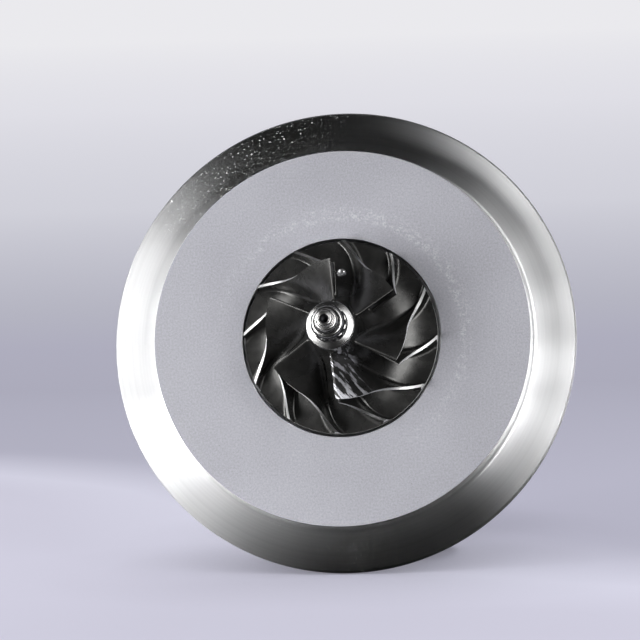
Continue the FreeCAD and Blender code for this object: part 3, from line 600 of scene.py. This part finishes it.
def blade(start, lengthwise):
    """A blade from this share of the full length on, rounded in front and cut off at the wheel's exit."""
    # Rows of points lie at these heights above the hub, and then at these shares of the blade's height
    heights = [-0.35, 0.0, 0.12, 0.3, 0.55, 1.0, 2.0]
    shares_up = [0.25, 0.45, 0.65, 0.85, 1.0]
    nose_steps = 5
    nose_ratio = 0.75
    thin_length = 0.25
    ahead = 0.01

    def skin(share, up, side, fade):
        """A point on one side of the blade. fade narrows it towards the leading edge."""
        foot = compressor_foot(share)
        head = compressor_head(share)
        span = head - foot
        height = span.length
        along = compressor_foot(share + ahead) + compressor_head(share + ahead)
        along = along - compressor_foot(share - ahead) - compressor_head(share - ahead)
        across = span.cross(along).normalized()
        level = max(0.0, up) * height
        thin = EDGE_SHARE + (1 - EDGE_SHARE) * min(1.0, (share - start) / thin_length)
        half = full_thickness(up) * thin / 2
        flare = 0.0
        if level < ROOT_FILLET:
            flare = ROOT_FILLET - math.sqrt(ROOT_FILLET**2 - (ROOT_FILLET - level) ** 2)
        return foot + span * up + across * (side * fade * (half + flare))

    def end_share(up, side):
        """The share at which this line of the blade reaches the wheel's exit."""
        low, high = start + 0.2, 1.3
        for _ in range(24):
            middle = (low + high) / 2
            point = skin(middle, up, side, 1.0)
            if math.hypot(point.x, point.z) < WHEEL_EXIT_R:
                low = middle
            else:
                high = middle
        return low

    front_height = (compressor_head(start) - compressor_foot(start)).length
    ups = [height / front_height for height in heights] + shares_up
    front_run = compressor_foot(start + 2 * ahead) - compressor_foot(start)
    length_per_share = front_run.length / (2 * ahead)
    rows = []
    for up in ups:
        nose_length = nose_ratio * full_thickness(up) * EDGE_SHARE / length_per_share
        sides = []
        for side in (1, -1):
            line = []
            for step in range(nose_steps + 1):
                turn = math.radians(90 * step / nose_steps)
                share = start + nose_length * (1 - math.cos(turn))
                line.append(skin(share, up, side, math.sin(turn)))
            for share in spread(start + nose_length, end_share(up, side), lengthwise)[1:]:
                line.append(skin(share, up, side, 1.0))
            sides.append(line)
        rows.append(list(reversed(sides[0])) + sides[1][1:])
    width = len(rows[0])
    points = [point for row in rows for point in row]
    faces = []
    for level in range(len(rows) - 1):
        for index in range(width - 1):
            here = level * width + index
            faces.append((here, here + 1, here + width + 1, here + width))
        faces.append((level * width, (level + 1) * width, (level + 2) * width - 1, (level + 1) * width - 1))
    for level in (0, len(rows) - 1):
        base = level * width
        for index in range((width - 1) // 2):
            faces.append((base + index, base + index + 1, base + width - 2 - index, base + width - 1 - index))
    return points, faces


def spun(part, angle):
    """(points, faces) turned about the axis, anticlockwise as seen from the compressor side."""
    turn = Matrix.Rotation(-math.radians(angle), 3, "Y")
    return [turn @ point for point in part[0]], part[1]


def compressor_wheel():
    back_rim = EXIT_HUB_Y + EXIT_RIM
    hub_curve = [(*quarter(share, *HUB_ENDS), 0) for share in spread(0, 1, 33)]
    hub = rounded(
        [(WHEEL_NOSE_Y, STUD_R, 0), (WHEEL_NOSE_Y, WHEEL_NOSE_R, 0.25)]
        + hub_curve
        + [
            (back_rim, WHEEL_EXIT_R, 0.15),
            (*WHEEL_BACK_CORNER, 0),
            (WHEEL_BACK_Y, WHEEL_FOOT_R, 0.3),
            (WHEEL_BACK_Y, STUD_R, 0),
        ],
        4,
    )
    parts = [revolved(hub, 180)]
    full = blade(0.0, FULL_STEPS)
    splitter = blade(SPLITTER_START, SPLITTER_STEPS)
    step = 360.0 / BLADE_PAIRS
    for number in range(BLADE_PAIRS):
        parts.append(spun(full, BLADE_PHASE + step * number))
        parts.append(spun(splitter, BLADE_PHASE + step * (number + 0.5)))
    points, faces = joined(*parts)
    tip_y0, tip_r0 = TIP_ENDS[0]
    tip_y1, tip_r1 = TIP_ENDS[1]

    def material_of(centre, normal):
        """Turned where the wheel was turned: the blades' outer edges, the exit, the nose and the back."""
        r = math.hypot(centre.x, centre.z)
        if r > WHEEL_EXIT_R - 0.12 or centre.y < WHEEL_NOSE_Y + 0.05 or centre.y > back_rim:
            return 1
        if abs(r - WHEEL_INLET_R) < 0.1 and INLET_TIP_Y < centre.y < tip_y0:
            outward = Vector((centre.x, 0, centre.z)).normalized()
            return 1 if normal.dot(outward) > 0.75 else 0
        inside = (tip_r1 - r) / (tip_r1 - tip_r0)
        if 0 <= inside <= 1.001:
            turn = math.acos(max(-1.0, min(1.0, inside)))
            edge_y = tip_y0 + (tip_y1 - tip_y0) * math.sin(turn)
            outward = Vector((centre.x, 0, centre.z)).normalized()
            facing = normal.dot(outward * math.cos(turn) + Vector((0, -math.sin(turn), 0)))
            if abs(centre.y - edge_y) < 0.25 and facing > 0.75:
                return 1
        return 0

    piece(
        "compressor_wheel_cast",
        points,
        faces,
        [materials["blade"], materials["edge"]],
        "rotor",
        ["compressor_wheel"],
        material_of,
    )


def compressor_nut():
    """Flange, twelve points with rounded tips, and a round collar."""
    flange_front = WHEEL_NOSE_Y - NUT_FLANGE
    top = WHEEL_NOSE_Y - NUT_HEIGHT
    collar_back = top + NUT_COLLAR
    flange = rounded(
        [
            (WHEEL_NOSE_Y, STUD_R, 0),
            (WHEEL_NOSE_Y, NUT_FLANGE_R, 0.1),
            (WHEEL_NOSE_Y - NUT_FLANGE_EDGE, NUT_FLANGE_R, 0.35),
            (flange_front, NUT_POINT_R, 0.3),
            (flange_front, STUD_R, 0),
        ],
        5,
    )
    collar = rounded(
        [
            (collar_back + 0.4, STUD_R, 0),
            (collar_back + 0.4, NUT_COLLAR_R, 0),
            (top, NUT_COLLAR_R, 0.7),
            (top, STUD_R, 0.3),
        ],
        6,
    )
    point_turn = 360.0 / NUT_POINTS
    inner = NUT_POINT_R * math.cos(math.radians(point_turn)) / math.cos(math.radians(point_turn / 2))
    count = 24 * NUT_POINTS
    # Each level's depth, and the share of the points' radius beyond which they are rounded off there
    limits = [(flange_front + 0.3, 1.0), (flange_front - 0.5, 1.0), (collar_back + 0.3, 1.0)]
    limits += [(collar_back + 0.1, 0.98), (collar_back, 0.94)]
    points = []
    faces = []
    for y, limit in limits:
        for number in range(count):
            angle = 360.0 * number / count
            off = abs((angle + point_turn / 2) % point_turn - point_turn / 2)
            wave = 0.5 + 0.5 * math.cos(math.radians(off * NUT_POINTS))
            star = inner + (NUT_POINT_R - inner) * wave**0.7
            points.append(polar(y, min(star, NUT_POINT_R * limit), angle + point_turn / 2))
    for level in range(len(limits) - 1):
        for number in range(count):
            ahead = (number + 1) % count
            here = level * count
            faces.append((here + number, here + ahead, here + count + ahead, here + count + number))
    first = list(range(count))
    last = [(len(limits) - 1) * count + number for number in range(count)]
    faces += [tuple(reversed(first)), tuple(last)]
    points, faces = joined(revolved(flange, 144), (points, faces), revolved(collar, 144))

    def material_of(centre, normal):
        """Painted shade: darker on the walls of the points, and round the stud."""
        r = math.hypot(centre.x, centre.z)
        wall = abs(normal.y) < 0.6 and collar_back < centre.y < flange_front
        return 1 if wall or (r < STUD_R + 0.25 and centre.y < collar_back) else 0

    piece(
        "compressor_nut_polished",
        points,
        faces,
        [materials["polished"], materials["crevice_shade"]],
        "rotor",
        ["compressor_nut"],
        material_of,
    )


def rotor_shaft():
    """The shaft, with a rolled thread at its front end and a centre drilled into its tip."""
    stud_end = WHEEL_NOSE_Y - NUT_HEIGHT - STUD_PAST_NUT
    tip_end = stud_end - TIP_LENGTH
    thread_start = stud_end + 2 * SHAFT_CHAMFER
    thread = [(y, STUD_R, 0) for y in spread(thread_start, WHEEL_NOSE_Y - NUT_HEIGHT, THREAD_ROWS)]
    outline = rounded(
        [
            (tip_end + TIP_CENTRE_DEPTH, 0, 0),
            (tip_end + TIP_CENTRE_DEPTH - TIP_CENTRE_R, TIP_CENTRE_R, 0.1),
            (tip_end + 0.4, TIP_CENTRE_R, 0.08),
            (tip_end, TIP_CENTRE_R + 0.15, 0.15),
            (tip_end, TIP_R, 0.5),
            (stud_end, TIP_R, 0.15),
            (stud_end, STUD_R, 0.5),
        ]
        + thread
        + [
            (COLLAR_END, STUD_R, 0),
            (COLLAR_END, JOURNAL_R, SHAFT_CHAMFER),
            (WAIST[0], JOURNAL_R, 0.1),
            (WAIST[0] + 0.3, WAIST_R, 0.1),
            (WAIST[1] - 0.3, WAIST_R, 0.1),
            (WAIST[1], JOURNAL_R, 0.1),
            (THROW[0], JOURNAL_R, 0.4),
            (THROW[0], THROW_R, 0.3),
            (THROW[1], THROW_R, 0.3),
            (THROW[1], SEAL_HUB_R, 0.4),
            (SEAL_GROOVE[0], SEAL_HUB_R, 0.1),
            (SEAL_GROOVE[0], SEAL_HUB_R - SEAL_DEPTH, 0.1),
            (SEAL_GROOVE[1], SEAL_HUB_R - SEAL_DEPTH, 0.1),
            (SEAL_GROOVE[1], SEAL_HUB_R, 0.1),
            (WELD_Y, SEAL_HUB_R, 0),
            (WELD_Y, 0, 0),
        ],
        4,
    )
    segments = 120
    points, faces = revolved(outline, segments)
    first, last = thread[0][0], thread[-1][0]
    for index, point in enumerate(points):
        if first < point.y < last:
            share = (point.y / THREAD_PITCH + index // len(outline) / segments) % 1.0
            fade = min(1.0, (point.y - first) / 0.3)
            depth = THREAD_DEPTH * fade * (1 - abs(2 * share - 1))
            scale = 1 - depth / STUD_R
            points[index] = Vector((point.x * scale, point.y, point.z * scale))

    def material_of(centre, normal):
        """Painted shade: darker in the drilled centre and between the threads."""
        r = math.hypot(centre.x, centre.z)
        drilled = r < TIP_CENTRE_R + 0.05 and centre.y < 0
        return 1 if drilled or (first < centre.y < last and r < STUD_R - 0.06) else 0

    piece(
        "rotor_shaft_ground",
        points,
        faces,
        [materials["ground"], materials["crevice_shade"]],
        "rotor",
        ["rotor_shaft"],
        material_of,
    )


backplate()
compressor_wheel()
compressor_nut()
rotor_shaft()

# The object leans back on its drain flange: the floor meets the rim's lowest edge and the flange's rear edge.
LEAN = math.radians(14.5)
CONTACT = Vector((0, PAD_HEIGHT + RIM_LAND, -PLATE_R)) * MM
FLOOR_BACK = Vector((0, math.cos(LEAN), math.sin(LEAN)))

# Where the floor's rows and columns of points lie, in metres behind the contact and to its sides
FLOOR_ROWS = (-0.3, -0.2, -0.1, 0.0, 0.1, 0.2, 0.4, 0.8, 1.6, 3.0, 6.0, 14.0)
FLOOR_COLUMNS = (-12.0, -1.0, 0.0, 1.0, 12.0)

# The floor's tones as the camera sees them, by their depth in millimetres behind the contact. The darker band
# from about 120 to 700 mm behind it is painted shadow of the object.
FLOOR_TONES_AND_SHADOW = (
    (-250.0, (0.60, 0.59, 0.70)),
    (-44.0, (0.60, 0.59, 0.70)),
    (20.0, (0.65, 0.645, 0.76)),
    (120.0, (0.46, 0.455, 0.555)),
    (350.0, (0.48, 0.475, 0.58)),
    (540.0, (0.50, 0.495, 0.605)),
    (700.0, (0.545, 0.545, 0.635)),
    (1290.0, (0.745, 0.745, 0.82)),
    (2530.0, (0.87, 0.865, 0.93)),
    (4650.0, (0.97, 0.965, 1.0)),
)
# How bright they are in the darkest of the contact shadow and in the open, how far in metres that shadow
# reaches, and how they slant: by so many millimetres of depth for each millimetre to the right. The slant
# tilts the painted shadow band so that it lies nearer the object on the right.
FLOOR_LEVELS = (0.25, 0.85)
FLOOR_SHADE = 0.05
FLOOR_SHADOW_SLANT = 1.6


def floor():
    """A pale floor that fades out at its ends and is seen from above only."""
    points = []
    for depth in FLOOR_ROWS:
        for side in FLOOR_COLUMNS:
            points.append(CONTACT + FLOOR_BACK * depth + Vector((side, 0, 0)))
    faces = []
    count = len(FLOOR_COLUMNS)
    for row in range(len(FLOOR_ROWS) - 1):
        for column in range(count - 1):
            here = row * count + column
            faces.append((here, here + 1, here + count + 1, here + count))
    mesh = bpy.data.meshes.new("floor")
    mesh.from_pydata(points, [], faces)
    made = bpy.data.objects.new("floor", mesh)
    scene.collection.objects.link(made)
    made.visible_shadow = False

    s = Surface("floor")
    x, _, _ = s.parts()
    inputs = {0: s.place, 1: tuple(FLOOR_BACK)}
    along = s.node("ShaderNodeVectorMath", inputs, output=1, operation="DOT_PRODUCT")
    depth = s.math("SUBTRACT", along, CONTACT.dot(FLOOR_BACK) / MM)
    first, last = FLOOR_TONES_AND_SHADOW[0][0], FLOOR_TONES_AND_SHADOW[-1][0]
    ramp = s.tree.nodes.new("ShaderNodeValToRGB")
    elements = ramp.color_ramp.elements
    while len(elements) < len(FLOOR_TONES_AND_SHADOW):
        elements.new(0.5)
    for element, (place, color) in zip(elements, FLOOR_TONES_AND_SHADOW):
        element.position = (place - first) / (last - first)
        element.color = (*color, 1.0)
    # Painted shadow: near the object the tones are slanted, so the painted shadow band lies nearer on the
    # right
    rising = s.fit(depth, -60.0, 120.0, 0.2, 1.0)
    falling = s.fit(depth, 150.0, 350.0, 1.0, 0.0)
    slant = s.math("MULTIPLY", s.math("MULTIPLY", x, FLOOR_SHADOW_SLANT), s.math("MULTIPLY", rising, falling))
    s.tree.links.new(s.fit(s.math("ADD", depth, slant), first, last), ramp.inputs[0])
    color = ramp.outputs[0]

    # The tones glow for the camera. Mirrored in the metal, they glow only behind the object. The matte share,
    # which throws light back, ends a little way behind the object.
    path = s.tree.nodes.new("ShaderNodeLightPath")
    mirrored = s.math("ADD", path.outputs["Is Glossy Ray"], path.outputs["Is Transmission Ray"], clamp=True)
    mirrored = s.math("MULTIPLY", mirrored, s.fit(depth, 0.0, 150.0, 0.0, 1.0, smooth=True))
    seen = s.math("ADD", path.outputs["Is Camera Ray"], mirrored, clamp=True)
    shade = s.node("ShaderNodeAmbientOcclusion", {"Distance": FLOOR_SHADE}, output=1, samples=8)
    strength = s.math("MULTIPLY", seen, s.fit(shade, 0.0, 1.0, *FLOOR_LEVELS))
    glow = s.node("ShaderNodeEmission", {"Color": color, "Strength": strength})
    dim = s.mix(s.fit(depth, 120.0, 400.0, 0.76, 1.0), color, (0.0, 0.0, 0.0))
    lit = s.mix(path.outputs["Is Camera Ray"], (0.0, 0.0, 0.0), dim)
    matte = s.node("ShaderNodeBsdfDiffuse", {"Color": lit})
    both = s.node("ShaderNodeAddShader", {0: glow, 1: matte})
    side = s.node("ShaderNodeNewGeometry", output=6)
    fade = s.fit(depth, first - 40, first + 60, 1.0, 0.0, smooth=True)
    clear = s.math("MAXIMUM", side, fade)
    empty = s.node("ShaderNodeBsdfTransparent", {})
    mixed = s.node("ShaderNodeMixShader", {0: clear, 1: both, 2: empty})
    s.tree.links.new(mixed, s.output.inputs["Surface"])
    mesh.materials.append(s.material)


def world():
    """Pale for the camera. As light and in reflections it is dim in front, and brighter behind and above."""
    made = bpy.data.worlds.new("studio")
    scene.world = made
    made.use_nodes = True
    s = Nodes(made.node_tree, "Generated")
    _, y, z = s.parts()
    behind = s.fit(y, 0.0, 0.9, 0.002, 0.6, smooth=True)
    above = s.fit(z, 0.4, 1.0, 0.0, 0.012, smooth=True)
    level = s.math("ADD", behind, above)
    studio = s.node("ShaderNodeBackground", {"Color": (0.95, 0.96, 1.0, 1.0), "Strength": level})
    pale = s.node("ShaderNodeBackground", {"Color": (0.84, 0.835, 0.88, 1.0), "Strength": 1.0})
    camera_ray = s.node("ShaderNodeLightPath", output="Is Camera Ray")
    mixed = s.node("ShaderNodeMixShader", {0: camera_ray, 1: studio, 2: pale})
    output = s.tree.nodes.new("ShaderNodeOutputWorld")
    s.tree.links.new(mixed, output.inputs["Surface"])


def lamp(name, place, target, width, height, power):
    """A soft rectangular lamp that looks from place to target, in metres."""
    data = bpy.data.lights.new(name, "AREA")
    data.shape = "RECTANGLE"
    data.size = width
    data.size_y = height
    data.energy = power
    made = bpy.data.objects.new(name, data)
    scene.collection.objects.link(made)
    place = Vector(place)
    made.location = place
    made.rotation_euler = (Vector(target) - place).to_track_quat("-Z", "Y").to_euler()


floor()
world()

# The camera stands a little right of the axis and below it, and keeps Z upright. It is slid sideways so that
# the rim's centre falls on RIM_CENTRE, in pixels of the picture.
AZIMUTH = math.radians(7.8)
ELEVATION = math.radians(-8.6)
DISTANCE = 1.0
SENSOR_MM = 36.0
VIEW_WIDTH = 0.1627
RIM_CENTRE = (344.45, 340.90)
FRAME_PIXELS = 640

backwards = Vector(
    (
        math.sin(AZIMUTH) * math.cos(ELEVATION),
        -math.cos(AZIMUTH) * math.cos(ELEVATION),
        math.sin(ELEVATION),
    )
)
rightwards = Vector((0, 0, 1)).cross(backwards).normalized()
upwards = backwards.cross(rightwards).normalized()
pixel = VIEW_WIDTH / FRAME_PIXELS
slide = rightwards * ((FRAME_PIXELS / 2 - RIM_CENTRE[0]) * pixel)
slide += upwards * ((RIM_CENTRE[1] - FRAME_PIXELS / 2) * pixel)
camera_data = bpy.data.cameras.new("camera")
camera_data.sensor_width = SENSOR_MM
camera_data.lens = SENSOR_MM * DISTANCE / VIEW_WIDTH
camera_data.clip_start = 0.01
camera_data.clip_end = 100.0
camera = bpy.data.objects.new("camera", camera_data)
scene.collection.objects.link(camera)
stand = Matrix((rightwards, upwards, backwards)).transposed().to_4x4()
stand.translation = Vector((0, PAD_HEIGHT * MM, 0)) + backwards * DISTANCE + slide
camera.matrix_world = stand
scene.camera = camera

# Soft lamps left and right. Each stands where the rim, at an angle about its axis, would mirror it into the
# camera if its face were tilted a little: (angle, tilt, power in watts).
LAMP_DISTANCE = 0.8
LAMP_SIZE = 0.28
SIDE_LAMPS = [
    (150, 24, 0.75),
    (165, 24, 1.3),
    (180, 24, 1.3),
    (195, 24, 1.4),
    (210, 26, 2.5),
    (225, 26, 4.2),
    (240, 26, 1.7),
    (-45, 24, 0.55),
    (-30, 24, 1.0),
    (-15, 24, 1.25),
    (0, 24, 1.05),
    (15, 24, 0.6),
    (30, 24, 0.5),
    (45, 24, 0.2),
]
for angle, tilt, power in SIDE_LAMPS:
    turn = math.radians(angle)
    tilt = math.radians(tilt)
    halfway = Vector((math.cos(turn), 0, math.sin(turn))) * math.sin(tilt)
    halfway.y = -math.cos(tilt)
    toward = 2 * backwards.dot(halfway) * halfway - backwards
    lamp(f"side_box_{angle}", toward * LAMP_DISTANCE, (0, 0, 0), LAMP_SIZE, LAMP_SIZE, power)
# One lamp above and behind edges the object with light
lamp("rear_box", (0.10, 0.75, 0.55), (0, 0.04, 0), 0.7, 0.5, 6.0)

scene.view_settings.view_transform = "Standard"
